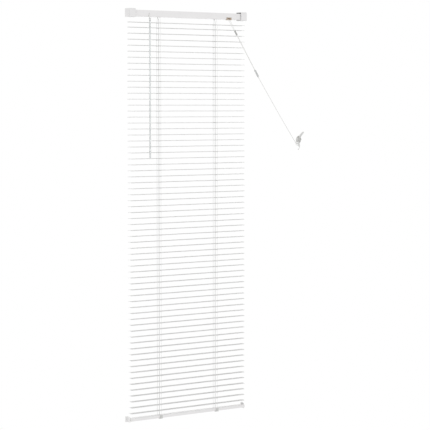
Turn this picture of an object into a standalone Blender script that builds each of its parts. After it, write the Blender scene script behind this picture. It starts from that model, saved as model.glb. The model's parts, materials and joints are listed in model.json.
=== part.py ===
"""A one-inch venetian blind with a steel headrail, a tilt wand, a cord lock and a wall cleat.

X runs along the blind, -Y faces the room and Z is up. The origin is on the plane of the end
brackets' top faces, over the middle of the slats. The script works in millimetres and the
objects are made in metres.
"""
import math

import bmesh
import bpy
from mathutils import Matrix, Vector

MM = 0.001
GAP = 0.3                     # clearance between pieces that touch

# Slats
SLAT_LENGTH = 568.0
SLAT_WIDTH = 25.4
SLAT_CROWN = 1.8
SLAT_THICK = 0.5
SLAT_CORNER = 4.0
SLAT_COUNT = 67
FIRST_SLAT_Z = -53.4
SECOND_SLAT_Z = -73.4
SLAT_PITCH = 23.5
SOLID_SLAT_FIRST = 2          # the slats that are solids here: this one and every third after it
SOLID_SLAT_STEP = 3
SLOT_LENGTH = 14.0
SLOT_WIDTH = 4.6

# Headrail and end brackets
RAIL_HALF_DEPTH = 12.5
RAIL_TOP = -5.6
RAIL_BOTTOM = -31.0
RAIL_WALL = 0.8
RAIL_LIP = 3.0
RAIL_HALF_LENGTH = 288.0
BRACKET_INNER_X = 260.0
BRACKET_OUTER_X = 290.0
BRACKET_HALF_DEPTH = 16.5
BRACKET_BOTTOM = -34.0
BRACKET_WALL = 1.4
BRACKET_FLOOR = 2.6
DOOR_THICK = 1.2
WALL_Y = BRACKET_HALF_DEPTH   # the plane that the brackets and the cleat are screwed to

# Tilt mechanism
LADDER_X = 140.0
ROD_Z = -17.5
ROD_RADIUS = 3.0
ROD_END_X = 160.0
DRUM_RADIUS = 9.0
TILTER_X = -195.0
GEAR_RADIUS = 5.2
GEAR_TEETH = 14
WORM_RADIUS = 2.7
WORM_LEAN = math.radians(25.0)
EYE_DISTANCE = 25.7           # from the mesh point of worm and gear to the wand's eye
WAND_RADIUS = 3.6
WAND_BOTTOM = -592.0

# Ladders, lift cords and bottom rail
LADDER_Y = 13.6
LADDER_RADIUS = 0.6
LIFT_RADIUS = 0.7
BOTTOM_Z = -1625.5
BOTTOM_HALF_DEPTH = 12.5
BOTTOM_HALF_HEIGHT = 6.0
BOTTOM_HALF_LENGTH = 281.0
BOTTOM_WALL = 0.9

# Cord lock, pull cords and cleat
LOCK_X = 201.0
PULL_RADIUS = 0.8
PULL_SPACING = 2.0            # between the two cords below the stop
LOCK_MOUTH = Vector((LOCK_X, -18.0, -38.0))
CONNECTOR = Vector((343.0, -14.0, -248.5))
CONNECTOR_LENGTH = 34.0
CONNECTOR_RADIUS = 4.0
STOP_DISTANCE = 56.0          # from the point just below the lock's mouth
STOP_LENGTH = 20.0
STOP_RADIUS = 3.6
CLEAT_X = 586.0
CLEAT_Z = -522.0
CLEAT_LEAN = math.radians(20.0)

ALONG_X = Matrix(((0, 0, 1), (1, 0, 0), (0, 1, 0))).to_4x4()    # an outline in YZ, extruded in X
ALONG_Y = Matrix(((1, 0, 0), (0, 0, -1), (0, 1, 0))).to_4x4()   # an outline in XZ, extruded in Y
ALONG_Z = Matrix.Identity(4)                                    # an outline in XY, extruded in Z


# ---------------------------------------------------------------- helpers

def metres(point):
    return Vector(point) * MM


def collection(name):
    group = bpy.data.collections.new(name)
    bpy.context.scene.collection.children.link(group)
    return group


def material(name, colour, roughness, metallic=0.0):
    made = bpy.data.materials.new(name)
    made.use_nodes = True
    shader = made.node_tree.nodes["Principled BSDF"]
    shader.inputs["Base Color"].default_value = (*colour, 1.0)
    shader.inputs["Roughness"].default_value = roughness
    shader.inputs["Metallic"].default_value = metallic
    return made


def adopt(obj, name, group):
    """Move an object into one collection under its own name."""
    for owner in list(obj.users_collection):
        owner.objects.unlink(obj)
    group.objects.link(obj)
    obj.name = name
    obj.data.name = name
    return obj


def place(obj, name, finish, parent=None):
    """Make an object a part: named, coloured and, if it moves, parented to its axis."""
    adopt(obj, name, PARTS)
    obj.data.materials.clear()
    obj.data.materials.append(finish)
    if parent is not None:
        obj.parent = parent
        obj.matrix_parent_inverse = Matrix.Translation(parent.location).inverted()
    return obj


def cutter(obj, name):
    adopt(obj, name, CUTTERS)
    obj.hide_render = True
    obj.display_type = "WIRE"
    return obj


def axis_empty(name, point):
    empty = bpy.data.objects.new(name, None)
    empty.empty_display_size = 0.01
    empty.location = metres(point)
    PARTS.objects.link(empty)
    return empty


def box(low, high, bevel=0.0):
    low, high = Vector(low), Vector(high)
    bpy.ops.mesh.primitive_cube_add(size=1.0, location=metres((low + high) / 2))
    obj = bpy.context.object
    obj.data.transform(Matrix.Diagonal((high - low) * MM).to_4x4())
    if bevel:
        rounding = obj.modifiers.new("rounding", "BEVEL")
        rounding.width = bevel * MM
        rounding.segments = 1
    return obj


def aim(direction):
    return Vector(direction).to_track_quat("Z", "Y").to_euler()


def cylinder(centre, direction, radius, length, sides=16, bevel=0.0, bevel_steps=1):
    bpy.ops.mesh.primitive_cylinder_add(vertices=sides, radius=radius * MM, depth=length * MM,
                                        location=metres(centre), rotation=aim(direction))
    obj = bpy.context.object
    if bevel:
        rounding = obj.modifiers.new("rounding", "BEVEL")
        rounding.width = bevel * MM
        rounding.segments = bevel_steps
        rounding.limit_method = "ANGLE"
        rounding.angle_limit = math.radians(60)
    return obj


def to_mesh(obj):
    """Turn a curve, or an object with modifiers, into a plain mesh object in the same place."""
    bpy.context.view_layer.update()
    depsgraph = bpy.context.evaluated_depsgraph_get()
    mesh = bpy.data.meshes.new_from_object(obj.evaluated_get(depsgraph))
    shape = bmesh.new()
    shape.from_mesh(mesh)
    bmesh.ops.remove_doubles(shape, verts=shape.verts, dist=0.000001)
    shape.to_mesh(mesh)
    shape.free()
    made = bpy.data.objects.new(obj.name, mesh)
    made.matrix_world = obj.matrix_world.copy()
    bpy.context.scene.collection.objects.link(made)
    bpy.data.objects.remove(obj, do_unlink=True)
    return made


def outline(loops, length, centre, turn):
    """A flat outline, with any holes as further loops, extruded to a length about a centre."""
    curve = bpy.data.curves.new("outline", "CURVE")
    curve.dimensions = "2D"
    curve.fill_mode = "BOTH"
    curve.extrude = length / 2 * MM
    for loop in loops:
        spline = curve.splines.new("POLY")
        spline.points.add(len(loop) - 1)
        for point, (a, b) in zip(spline.points, loop):
            point.co = (a * MM, b * MM, 0.0, 1.0)
        spline.use_cyclic_u = True
    obj = bpy.data.objects.new("outline", curve)
    obj.matrix_world = Matrix.Translation(metres(centre)) @ turn
    bpy.context.scene.collection.objects.link(obj)
    return to_mesh(obj)


def circle(radius, sides=16, centre=(0.0, 0.0)):
    steps = (math.tau * i / sides for i in range(sides))
    return [(centre[0] + radius * math.cos(a), centre[1] + radius * math.sin(a)) for a in steps]


def rounded_rectangle(half_a, half_b, radius, steps=3):
    points = []
    for k, (sa, sb) in enumerate(((1, 1), (-1, 1), (-1, -1), (1, -1))):
        for i in range(steps + 1):
            angle = math.pi / 2 * (k + i / steps)
            points.append((sa * (half_a - radius) + radius * math.cos(angle),
                           sb * (half_b - radius) + radius * math.sin(angle)))
    return points


def tube(points, radius, radii=None, resolution=2):
    """A round bar or cord along the points, with filled ends."""
    curve = bpy.data.curves.new("tube", "CURVE")
    curve.dimensions = "3D"
    curve.bevel_depth = radius * MM
    curve.bevel_resolution = resolution
    curve.use_fill_caps = True
    spline = curve.splines.new("POLY")
    spline.points.add(len(points) - 1)
    for i, point in enumerate(points):
        spline.points[i].co = (*metres(point), 1.0)
        spline.points[i].radius = radii[i] if radii else 1.0
    obj = bpy.data.objects.new("tube", curve)
    bpy.context.scene.collection.objects.link(obj)
    return obj


def smooth_route(route, steps):
    """Points on a smooth curve through the route's own points, so many for each stretch."""
    ends = [Vector(p) for p in route]
    ends = [2 * ends[0] - ends[1]] + ends + [2 * ends[-1] - ends[-2]]
    points = []
    for before, a, b, after in zip(ends, ends[1:], ends[2:], ends[3:]):
        for i in range(steps):
            t = i / steps
            points.append(0.5 * (2 * a + (b - before) * t
                                 + (2 * before - 5 * a + 4 * b - after) * t * t
                                 + (3 * a - before - 3 * b + after) * t * t * t))
    return points + [ends[-2]]


def boolean(obj, other, operation="DIFFERENCE"):
    step = obj.modifiers.new(operation.lower(), "BOOLEAN")
    step.object = other
    step.operation = operation
    step.solver = "EXACT"
    return obj


def cut_box(obj, name, low, high):
    return boolean(obj, cutter(box(low, high), name))


def cut_hole(obj, name, centre, direction, radius, length, sides=16):
    return boolean(obj, cutter(cylinder(centre, direction, radius, length, sides), name))


def join(obj, other, name):
    return boolean(obj, cutter(other, name), "UNION")


# ---------------------------------------------------------------- headrail and brackets

def make_headrail():
    y, lip, inner = RAIL_HALF_DEPTH, RAIL_HALF_DEPTH - RAIL_LIP, RAIL_HALF_DEPTH - RAIL_WALL
    top, bottom = RAIL_TOP, RAIL_BOTTOM
    profile = [(-lip, top), (-y, top), (-y, bottom), (y, bottom), (y, top), (lip, top),
               (lip, top - RAIL_WALL), (inner, top - RAIL_WALL), (inner, bottom + RAIL_WALL),
               (-inner, bottom + RAIL_WALL), (-inner, top - RAIL_WALL), (-lip, top - RAIL_WALL)]
    rail = place(outline([profile], 2 * RAIL_HALF_LENGTH, (0, 0, 0), ALONG_X), "headrail", WHITE_STEEL)
    for side, x in (("left", -LADDER_X), ("right", LADDER_X)):
        cut_box(rail, f"ladder_hole_{side}", (x - 5, -11, bottom - 1), (x + 5, 11, bottom + 2))
    cut_box(rail, "lock_opening", (LOCK_X - 13, -14, bottom - 1), (LOCK_X + 13, -5, -23))
    cut_box(rail, "tilter_opening", (TILTER_X - 3.2, -14, bottom - 1), (TILTER_X + 3.2, -5, -18.4))


def make_bracket(side, sign):
    """A box open towards the blind and towards the room, whose front is closed by a door."""
    inner, outer, y = BRACKET_INNER_X, BRACKET_OUTER_X, BRACKET_HALF_DEPTH
    xs = sorted((sign * inner, sign * outer))
    bracket = box((xs[0], -y + DOOR_THICK + GAP, BRACKET_BOTTOM), (xs[1], y, 0))
    place(bracket, f"bracket_{side}", WHITE_STEEL)
    hollow = sorted((sign * (inner - 5), sign * (outer - BRACKET_WALL)))
    cut_box(bracket, f"bracket_hollow_{side}",
            (hollow[0], -y - 5, BRACKET_BOTTOM + BRACKET_FLOOR),
            (hollow[1], y - BRACKET_WALL, -BRACKET_WALL))
    for k, x in enumerate((inner + 8, outer - 8)):
        cut_hole(bracket, f"top_screw_{side}_{k}", (sign * x, 5, 0), (0, 0, 1), 2.2, 12, 12)
        cut_hole(bracket, f"back_screw_{side}_{k}", (sign * x, y, -17), (0, 1, 0), 2.2, 12, 12)


def make_bracket_door(side, sign):
    """The door turns down about its lower edge to let the headrail in."""
    y, low = -BRACKET_HALF_DEPTH, BRACKET_BOTTOM + 0.6
    xs = sorted((sign * (BRACKET_INNER_X + 0.3), sign * (BRACKET_OUTER_X - 0.3)))
    pivot = axis_empty(f"door_axis_{side}", (0, y + DOOR_THICK / 2, low))
    door = box((xs[0], y, low), (xs[1], y + DOOR_THICK, -0.4), bevel=0.3)
    place(door, f"bracket_door_{side}", WHITE_STEEL, pivot)


# ---------------------------------------------------------------- tilt mechanism

def make_tilt_rod(axis):
    start = TILTER_X - 12
    length = ROD_END_X - start
    rod = cylinder((start + length / 2, 0, ROD_Z), (1, 0, 0), ROD_RADIUS, length, 6)
    place(rod, "tilt_rod", ZINC, axis)


def make_cradle(side, x):
    """A tray in the headrail whose two end plates carry the drum's hubs."""
    cradle = place(box((x - 11, -11.2, -29.9), (x + 11, 11.2, -10)), f"cradle_{side}", GREY_PLASTIC)
    cut_box(cradle, f"cradle_well_{side}", (x - 8, -12, -28.4), (x + 8, 12, 0))
    cut_box(cradle, f"cradle_cord_hole_{side}", (x - 4, -10.4, -31), (x + 4, 10.4, -27))
    cut_hole(cradle, f"cradle_bearing_{side}", (x, 0, ROD_Z), (1, 0, 0), 4.6, 30)
    cut_box(cradle, f"cradle_mouth_{side}", (x - 12, -4.4, ROD_Z), (x + 12, 4.4, 0))
    cut_box(cradle, f"cradle_cord_way_{side}", (x - 12, 3.5, -28.4), (x + 12, 12, -25.6))


def make_drum(side, x, axis):
    """The ladder cords are held on the drum's rim. Its hubs turn in the cradle."""
    bore = circle(ROD_RADIUS + GAP, 12)
    drum = outline([circle(4.2), bore], 21, (x, 0, ROD_Z), ALONG_X)
    place(drum, f"drum_{side}", GREY_PLASTIC, axis)
    rim = outline([circle(DRUM_RADIUS - 0.6, 20), circle(ROD_RADIUS + 0.8, 12)], 7, (x, 0, ROD_Z), ALONG_X)
    join(drum, rim, f"drum_rim_{side}")


def make_tilter_housing():
    x = TILTER_X
    housing = box((x - 11, -11.4, -29.9), (x + 11, 11.2, -9.6))
    place(housing, "tilter_housing", GREY_PLASTIC)
    cut_box(housing, "tilter_well", (x - 8.5, -13, -28.2), (x + 8.5, 9, 0))
    cut_box(housing, "tilter_throat", (x - 6.3, -13, -31), (x + 6.3, -4, -20))
    cut_hole(housing, "tilter_bearing", (x, 0, ROD_Z), (1, 0, 0), 3.6, 30)
    join(housing, box((x - 2.9, -12.3, -29.9), (x + 2.9, -9.0, -18.7)), "tilter_nose")
    join(housing, box((x - 8.6, -11.3, -29.9), (x + 8.6, -9.0, -27.4)), "tilter_sill")
    down, mesh_point, eye = worm_line()
    cut_hole(housing, "tilter_nose_bore", (mesh_point + eye) / 2, down, 2.0, 22)


def make_tilter_gear(axis):
    """A worm wheel on the rod."""
    rim = []
    for i in range(2 * GEAR_TEETH):
        radius = GEAR_RADIUS if i % 2 == 0 else GEAR_RADIUS - 0.9
        angle = math.tau * i / (2 * GEAR_TEETH)
        rim.append((radius * math.cos(angle), radius * math.sin(angle)))
    gear = outline([rim, circle(ROD_RADIUS + GAP, 12)], 8, (TILTER_X, 0, ROD_Z), ALONG_X)
    place(gear, "tilter_gear", GREY_PLASTIC, axis)


def worm_line():
    """The worm's downward direction, the point where it meets the gear, and the wand's eye."""
    down = Vector((0, -math.sin(WORM_LEAN), -math.cos(WORM_LEAN)))
    forward = Vector((0, -math.cos(WORM_LEAN), math.sin(WORM_LEAN)))
    mesh_point = Vector((TILTER_X, 0, ROD_Z)) + forward * (GEAR_RADIUS + GAP + WORM_RADIUS)
    return down, mesh_point, mesh_point + down * EYE_DISTANCE


def make_tilter_worm():
    down, mesh_point, eye = worm_line()
    axis = axis_empty("worm_axis", eye)
    worm = cylinder(mesh_point, down, WORM_RADIUS, 7.4, 12, bevel=0.5)
    place(worm, "tilter_worm", GREY_PLASTIC, axis)
    shaft_top = mesh_point + down * 2
    join(worm, cylinder((shaft_top + eye) / 2, down, 1.6, (eye - shaft_top).length, 10), "worm_shaft")
    join(worm, cylinder(eye, down, 2.3, 4, 10), "worm_eye")


def make_wand():
    """The link swings about the worm's eye, and the wand turns in the link."""
    eye = worm_line()[2]
    x, y, z = eye
    swing = axis_empty("wand_swing_axis", eye)
    link = box((x - 4.4, y - 2.2, z - 12), (x + 4.4, y + 2.2, z + 2), bevel=0.6)
    place(link, "wand_link", CLEAR_PLASTIC, swing)
    cut_box(link, "wand_link_slot", (x - 2.8, y - 4, z - 5.2), (x + 2.8, y + 4, z + 6))
    top = z - 12 - GAP
    spin = axis_empty("wand_axis", (x, y, top))
    length = top - WAND_BOTTOM
    wand = cylinder((x, y, top - length / 2), (0, 0, -1), WAND_RADIUS, length, 6, bevel=0.5)
    place(wand, "wand", CLEAR_PLASTIC, spin)


# ---------------------------------------------------------------- slats

def slat_z(number):
    return FIRST_SLAT_Z if number == 1 else SECOND_SLAT_Z - SLAT_PITCH * (number - 2)


def slat_mesh():
    """A crowned strip with rounded corners and a slot at each lift cord, centred on its own axis."""
    half = SLAT_WIDTH / 2
    radius = (half * half + SLAT_CROWN * SLAT_CROWN) / (2 * SLAT_CROWN)
    spread = math.asin(half / radius)
    angles = [spread * (i / 2 - 1) for i in range(5)]
    centre = SLAT_CROWN / 2 - radius
    upper = [(radius * math.sin(a), centre + radius * math.cos(a)) for a in angles]
    lower = [((radius - SLAT_THICK) * math.sin(a), centre + (radius - SLAT_THICK) * math.cos(a))
             for a in reversed(angles)]
    strip = outline([upper + lower], SLAT_LENGTH + 4, (0, 0, 0), ALONG_X)
    plan = [rounded_rectangle(SLAT_LENGTH / 2, half, SLAT_CORNER, 2)]
    for x in (-LADDER_X, LADDER_X):
        slot = rounded_rectangle(SLOT_WIDTH / 2, SLOT_LENGTH / 2, SLOT_WIDTH / 2 - 0.1, 1)
        plan.append([(x + a, b) for a, b in slot])
    trim = cutter(outline(plan, 12, (0, 0, 0), ALONG_Z), "slat_plan")
    boolean(strip, trim, "INTERSECT")
    strip = to_mesh(strip)
    mesh = strip.data
    mesh.transform(strip.matrix_world)
    bpy.data.objects.remove(strip, do_unlink=True)
    return mesh


def make_slats():
    mesh = slat_mesh()
    for number in range(SOLID_SLAT_FIRST, SLAT_COUNT + 1, SOLID_SLAT_STEP):
        name = f"slat_{number:02d}"
        slat = bpy.data.objects.new(name, mesh)
        slat.location = metres((0, 0, slat_z(number)))
        PARTS.objects.link(slat)
    mesh.name = "slat"
    mesh.materials.clear()
    mesh.materials.append(WHITE_ALUMINIUM)


# ---------------------------------------------------------------- ladders and lift cords

def make_ladders():
    top, bottom = RAIL_BOTTOM - 2.0, slat_z(SLAT_COUNT) + 2.0
    for face, y in (("front", -LADDER_Y), ("rear", LADDER_Y)):
        for side, x in (("left", -LADDER_X), ("right", LADDER_X)):
            cord = tube([(x, y, top), (x, y, (top + bottom) / 2), (x, y, bottom)], LADDER_RADIUS)
            place(cord, f"ladder_{face}_{side}", WHITE_CORD)


def make_lift_cords():
    """Each cord rises through its slots and runs along the headrail to the cord lock."""
    low = BOTTOM_Z + 10.0
    for side, x, y, z in (("left", -LADDER_X, 9.4, -27.2), ("right", LADDER_X, 6.4, -27.2)):
        corner = [(x, 0, low), (x, 0, -800), (x, 0, -58), (x, 0.6, -44), (x, y * 0.7, -33),
                  (x + 0.6, y * 0.93, -29), (x + 3, y, z - 0.1), (x + 9, y, z), (x + 14, y, z),
                  (LOCK_X - 12.7 - GAP, y, z)]
        straight = corner[:3]
        bend = smooth_route(corner[2:9], 3)[1:]
        cord = tube(straight + bend + corner[9:], LIFT_RADIUS)
        place(cord, f"lift_cord_{side}", WHITE_CORD)


# ---------------------------------------------------------------- bottom rail

def make_bottom_rail(axis):
    outer = rounded_rectangle(BOTTOM_HALF_DEPTH, BOTTOM_HALF_HEIGHT, 3.0, 3)
    inner = rounded_rectangle(BOTTOM_HALF_DEPTH - BOTTOM_WALL, BOTTOM_HALF_HEIGHT - BOTTOM_WALL, 2.2, 2)
    rail = outline([outer, inner], 2 * BOTTOM_HALF_LENGTH, (0, 0, BOTTOM_Z), ALONG_X)
    place(rail, "bottom_rail", WHITE_STEEL, axis)
    for side, sign in (("left", -1), ("right", 1)):
        x = sign * LADDER_X
        cut_hole(rail, f"button_hole_{side}", (x, 0, BOTTOM_Z - 6), (0, 0, 1), 4.0, 6, 12)
        inner, low = BOTTOM_HALF_DEPTH + GAP, -BOTTOM_HALF_HEIGHT - GAP
        outer_loop = [(-inner - 1.4, 4.8), (-inner - 1.4, low - 1.0), (-inner - 0.4, low - 2.0),
                      (inner + 0.4, low - 2.0), (inner + 1.4, low - 1.0), (inner + 1.4, 4.8)]
        saddle = outer_loop + [(inner, 4.8), (inner, low), (-inner, low), (-inner, 4.8)]
        button = outline([saddle], 13, (x, 0, BOTTOM_Z), ALONG_X)
        place(button, f"rail_button_{side}", GREY_PLASTIC, axis)
        join(button, cylinder((x, 0, BOTTOM_Z - 5.6), (0, 0, 1), 3.6, 4.4, 12), f"button_stem_{side}")
        edge = sign * (BOTTOM_HALF_LENGTH + GAP)
        cap = outline([rounded_rectangle(BOTTOM_HALF_DEPTH, BOTTOM_HALF_HEIGHT, 3.0, 3), circle(2.0, 12)],
                      2.0, (edge + sign, 0, BOTTOM_Z), ALONG_X)
        place(cap, f"rail_cap_{side}", WHITE_PLASTIC, axis)
        plug = outline([rounded_rectangle(BOTTOM_HALF_DEPTH - BOTTOM_WALL - GAP,
                                          BOTTOM_HALF_HEIGHT - BOTTOM_WALL - GAP, 1.9, 2),
                        circle(2.0, 12)], 9.0, (edge - sign * 3.5, 0, BOTTOM_Z), ALONG_X)
        join(cap, plug, f"cap_plug_{side}")


def make_hold_down(side, sign):
    """An angle on the wall with a pin that enters the end cap's bore."""
    near = BOTTOM_HALF_LENGTH + GAP + 2.0 + 0.7
    far, thick, wall = near + 11.0, 1.4, WALL_Y
    plan = [(near, -5), (near + thick, -5), (near + thick, wall - thick), (far, wall - thick),
            (far, wall), (near, wall)]
    loop = [(sign * a, b) for a, b in plan]
    angle = outline([loop], 22, (0, 0, BOTTOM_Z + 1), ALONG_Z)
    place(angle, f"hold_down_{side}", GREY_STEEL)
    pin = cylinder((sign * (near - 2.2), 0, BOTTOM_Z), (1, 0, 0), 1.6, 5.6, 12)
    join(angle, pin, f"hold_down_pin_{side}")
    screw = (sign * (near + 6.0), wall, BOTTOM_Z + 1)
    cut_hole(angle, f"hold_down_screw_{side}", screw, (0, 1, 0), 2.0, 8, 12)


# ---------------------------------------------------------------- cord lock and pull cords

def make_cord_lock():
    x = LOCK_X
    housing = box((x - 12.4, -11.4, -29.9), (x + 12.4, 11.2, -9.6))
    place(housing, "cord_lock_housing", BRONZE)
    join(housing, box((x - 12.4, -13.4, -33.4), (x + 12.4, -5.4, -23.4), bevel=0.5), "lock_nose")
    cut_box(housing, "lock_well", (x - 9.6, -8.8, -27.4), (x + 9.6, 9.4, 0))
    cut_box(housing, "lock_mouth", (x - 6.5, -15, -36), (x + 6.5, -8, -26.4))
    roller = cylinder((x, -3.5, -22), (1, 0, 0), 2.6, 18, 16, bevel=0.3)
    place(roller, "lock_roller", ZINC, axis_empty("roller_axis", (x, -3.5, -22)))
    pawl = outline([[(1.2, -12), (5.2, -12), (5.2, -15), (3.6, -23), (1.0, -24.4), (0.2, -22.6),
                     (1.4, -20.4), (0.8, -18)]], 16, (x, 0, 0), ALONG_X)
    place(pawl, "lock_pawl", ZINC, axis_empty("pawl_axis", (x, 3.2, -13.5)))


def pull_direction():
    return (CONNECTOR - LOCK_MOUTH).normalized()


def make_pull_cords():
    """Two cords leave the lock, pass the stop and end in the connector."""
    along = pull_direction()
    across = along.cross(Vector((0, 1, 0))).normalized()
    stop = LOCK_MOUTH + along * STOP_DISTANCE
    top_of_connector = CONNECTOR - along * (CONNECTOR_LENGTH / 2 + GAP)
    for name, sign in (("pull_cord_a", -1), ("pull_cord_b", 1)):
        shift = across * (sign * PULL_SPACING / 2)
        route = [(LOCK_X + sign * 3.5, -11.5, -28.8), (LOCK_X + sign * 3.4, -14.6, -33.0),
                 (LOCK_X + 1.0 + sign * 3.2, -17.2, -38.0),
                 stop - along * 34 + shift * 2.6, stop - along * 14 + shift * 1.2,
                 stop + along * 4 + shift, stop + along * 60 + shift, top_of_connector + shift]
        place(tube(smooth_route(route, 3), PULL_RADIUS), name, WHITE_CORD)
    turn = along.to_track_quat("Z", "Y").to_matrix().to_4x4()
    bead = outline([circle(STOP_RADIUS), circle(2.3, 12)], STOP_LENGTH, stop, turn)
    place(bead, "cord_stop", GREY_PLASTIC)
    joint = cylinder(CONNECTOR, along, CONNECTOR_RADIUS, CONNECTOR_LENGTH, 16, bevel=2.4, bevel_steps=2)
    place(joint, "cord_connector", CLEAR_PLASTIC)


def cleat_point(along, across, y):
    """A point on the cleat, by its distances along and across its leaning length."""
    up = Vector((math.sin(CLEAT_LEAN), 0, math.cos(CLEAT_LEAN)))
    right = Vector((math.cos(CLEAT_LEAN), 0, -math.sin(CLEAT_LEAN)))
    return Vector((CLEAT_X, y, CLEAT_Z)) + up * along + right * across


def make_cleat():
    """Two horns on a boss that is screwed to the wall. They flare towards the room."""
    lean = Matrix.Rotation(CLEAT_LEAN, 4, "Y")
    boss = outline([rounded_rectangle(6.0, 12.0, 5.9, 3), circle(2.0, 10)], WALL_Y - 6.0,
                   (CLEAT_X, (WALL_Y + 6.0) / 2, CLEAT_Z), lean @ ALONG_Y)
    place(boss, "cleat", WHITE_PLASTIC)
    stations = ((-32, -11.5, 0.75), (-27.5, -7.4, 0.88), (-19, -0.8, 0.97), (-9, 4.4, 1.0),
                (9, 4.4, 1.0), (19, -0.8, 0.97), (27.5, -7.4, 0.88), (32, -11.5, 0.75))
    points = [cleat_point(along, 0, y) for along, y, _ in stations]
    bar = to_mesh(tube(points, 4.4, [radius for _, _, radius in stations], 2))
    join(boss, bar, "cleat_horns")
    cut_hole(boss, "cleat_screw", cleat_point(0, 0, 0), (0, 1, 0), 2.0, 60, 10)


def make_cord_tail():
    """A single cord runs from the connector to the windings on the cleat."""
    along = pull_direction()
    start = CONNECTOR + along * (CONNECTOR_LENGTH / 2 + GAP)
    route = [start, start + along * 20, (460.0, -1.0, -399.0), (520.0, 5.7, -472.5),
             cleat_point(-19.9, -7.0, 11.6)]
    place(tube(smooth_route(route, 6), PULL_RADIUS), "pull_cord_tail", WHITE_CORD)
    turns = outline([rounded_rectangle(9.0, 19.0, 8.9, 3), rounded_rectangle(6.4, 16.4, 6.3, 3)], 3.6,
                    cleat_point(-2, 0, 12.0), Matrix.Rotation(CLEAT_LEAN, 4, "Y") @ ALONG_Y)
    place(turns, "cord_winding", WHITE_CORD)
    end = [cleat_point(-19.8, 1.5, 11.6), cleat_point(-24.5, 1.5, 11.4),
           (586.0, 10.6, -549.0), (589.5, 10.2, -554.0), (586.5, 10.6, -560.0), (583.0, 11.0, -563.5)]
    join(turns, to_mesh(tube(smooth_route(end, 3), PULL_RADIUS)), "cord_end")


# ---------------------------------------------------------------- assembly

def main():
    make_headrail()
    tilt_axis = axis_empty("tilt_axis", (0, 0, ROD_Z))
    rail_axis = axis_empty("bottom_rail_axis", (0, 0, BOTTOM_Z))
    for side, sign in (("left", -1), ("right", 1)):
        make_bracket(side, sign)
        make_bracket_door(side, sign)
        make_cradle(side, sign * LADDER_X)
        make_drum(side, sign * LADDER_X, tilt_axis)
        make_hold_down(side, sign)
    make_tilt_rod(tilt_axis)
    make_tilter_housing()
    make_tilter_gear(tilt_axis)
    make_tilter_worm()
    make_wand()
    make_slats()
    make_ladders()
    make_lift_cords()
    make_bottom_rail(rail_axis)
    make_cord_lock()
    make_pull_cords()
    make_cleat()
    make_cord_tail()


for old in list(bpy.data.objects):
    bpy.data.objects.remove(old, do_unlink=True)
PARTS = collection("venetian_blind")
CUTTERS = collection("cutters")
WHITE_STEEL = material("white_painted_steel", (0.82, 0.82, 0.81), 0.35)
WHITE_ALUMINIUM = material("white_painted_aluminium", (0.85, 0.85, 0.84), 0.4)
GREY_STEEL = material("light_grey_steel", (0.7, 0.7, 0.69), 0.4)
ZINC = material("zinc_plated_steel", (0.6, 0.6, 0.58), 0.35, 1.0)
BRONZE = material("bronze_lacquered_steel", (0.42, 0.33, 0.24), 0.4, 0.6)
WHITE_PLASTIC = material("white_moulded_plastic", (0.8, 0.8, 0.78), 0.45)
GREY_PLASTIC = material("grey_moulded_plastic", (0.55, 0.55, 0.54), 0.5)
CLEAR_PLASTIC = material("clear_plastic", (0.86, 0.87, 0.87), 0.15)
WHITE_CORD = material("white_braided_cord", (0.84, 0.84, 0.82), 0.8)
main()
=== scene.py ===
"""Looks for the one-inch venetian blind: enamelled slats on string ladders, braided cords, a clear
tilt wand, a bronze cord lock and a moulded cleat, hung in plain white studio light.
"""
import json
import math
import random

import bmesh
import bpy
from mathutils import Matrix, Vector


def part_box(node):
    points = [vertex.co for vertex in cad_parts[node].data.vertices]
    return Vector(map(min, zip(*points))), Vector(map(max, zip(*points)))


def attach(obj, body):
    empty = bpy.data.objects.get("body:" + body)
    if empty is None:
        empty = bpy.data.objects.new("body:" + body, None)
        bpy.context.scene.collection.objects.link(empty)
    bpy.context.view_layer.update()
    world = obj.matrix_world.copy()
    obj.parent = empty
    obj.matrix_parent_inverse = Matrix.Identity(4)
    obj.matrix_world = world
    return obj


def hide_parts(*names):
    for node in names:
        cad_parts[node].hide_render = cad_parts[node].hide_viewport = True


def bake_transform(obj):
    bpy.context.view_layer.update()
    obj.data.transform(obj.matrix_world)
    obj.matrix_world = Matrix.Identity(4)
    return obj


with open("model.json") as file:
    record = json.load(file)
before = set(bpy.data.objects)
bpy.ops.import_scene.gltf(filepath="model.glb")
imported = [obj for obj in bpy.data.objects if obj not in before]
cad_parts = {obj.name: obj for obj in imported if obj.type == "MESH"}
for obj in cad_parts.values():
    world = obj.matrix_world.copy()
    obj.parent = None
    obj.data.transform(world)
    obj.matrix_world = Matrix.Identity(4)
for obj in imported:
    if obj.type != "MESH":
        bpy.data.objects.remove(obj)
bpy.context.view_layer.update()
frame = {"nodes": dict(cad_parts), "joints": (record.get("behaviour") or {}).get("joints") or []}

MM = 0.001

# Slats and ladders
SLAT_COUNT = 67
FIRST_SOLID = 2               # the frame holds this slat,
LAST_SOLID = 65               # this one
SOLID_STEP = 3                # and every third one between them
FIRST_GAP = 20.0 * MM         # from slat 1 to slat 2
CROWN = 1.8 * MM
SHEET_THICK = 0.24 * MM
CORNER = 4.0 * MM
SLOT_HALF_WIDTH = 2.3 * MM
SLOT_HALF_LENGTH = 7.0 * MM
LADDER_CORD_RADIUS = 0.5 * MM
RUNG_RADIUS = 0.34 * MM
RUNG_SPREAD = 3.3 * MM        # each slat lies on two rungs, one on each side of its slot
RUNG_DROP = 1.5 * MM          # from a slat's middle height down to its rungs
LIFT_RADIUS = 0.7 * MM
PULL_RADIUS = 0.8 * MM

# How far a slat hangs out of true, either way
TILT_STRAY = 0.5              # degrees about its length
YAW_STRAY = 0.02              # degrees about the vertical
SIDE_STRAY = 0.5              # mm along its length
HEIGHT_STRAY = 0.1            # mm

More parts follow.
